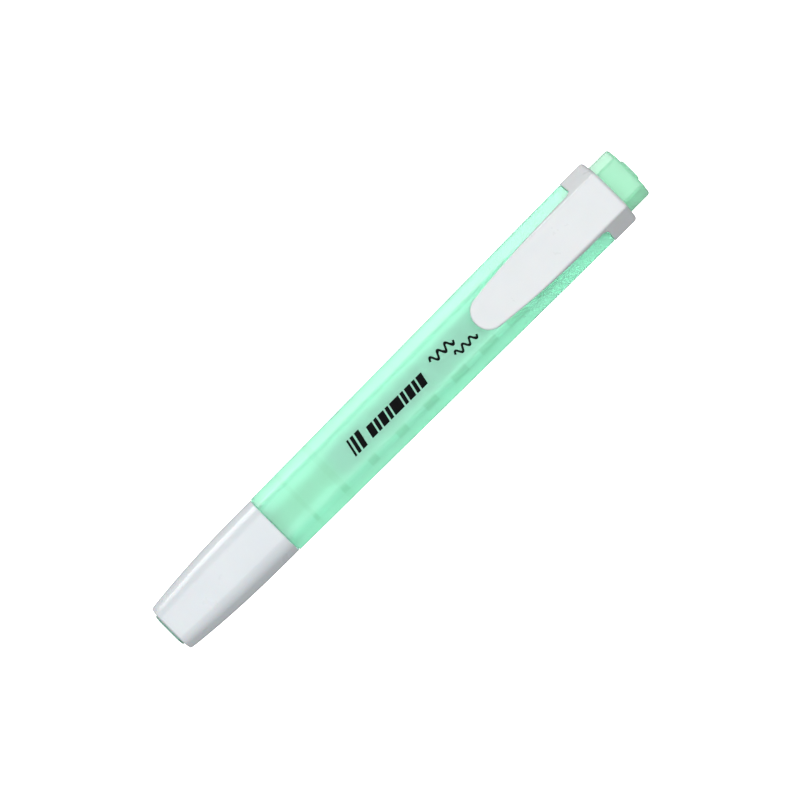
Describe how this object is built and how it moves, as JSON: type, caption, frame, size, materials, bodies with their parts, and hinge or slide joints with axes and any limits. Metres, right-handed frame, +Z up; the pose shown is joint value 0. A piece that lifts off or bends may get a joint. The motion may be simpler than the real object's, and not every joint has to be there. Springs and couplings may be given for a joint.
{
  "type": "highlighter pen",
  "caption": "Slim flat-sided highlighter with a translucent tinted barrel, pull-off cap, sprung pocket clip, felt chisel nib and fibre ink reservoir.",
  "frame": {"origin": "middle of the pen's length and width, on the surface that the pen lies on", "axes": "+X along the pen towards the end plug, +Y across it, +Z up through the clip"},
  "size_m": [0.125, 0.0152, 0.0126],
  "materials": {
    "barrel": "milky translucent mint green, smooth moulded gloss",
    "end_plug": "translucent mint green, smooth moulded gloss",
    "clip": "white, satin moulded",
    "cap_shell": "cool white, satin moulded",
    "cap_liner": "green, smooth moulded",
    "nib": "bonded felt, soaked with green ink",
    "reservoir_core": "bundled fibre, soaked with green ink",
    "reservoir_film": "thin clear film"
  },
  "bodies": {
    "pen": {"barrel": "barrel", "end_plug": "end_plug", "clip_collar": "clip", "nib": "nib", "reservoir_core": "reservoir_core", "reservoir_film": "reservoir_film"},
    "clip": {"clip_arm": "clip"},
    "cap": {"cap_shell": "cap_shell", "cap_liner": "cap_liner"}
  },
  "joints": [
    {"name": "cap_pull", "type": "slide", "parent": "pen", "child": "cap", "axis": [-1, 0, 0], "range_m": [0, 0.032]},
    {"name": "clip_flex", "type": "hinge", "parent": "pen", "child": "clip", "pos_m": [0.0509, 0, 0.012], "axis": [0, 1, 0], "range_deg": [0, 4], "stiffness_Nm_per_rad": 0.3}
  ]
}
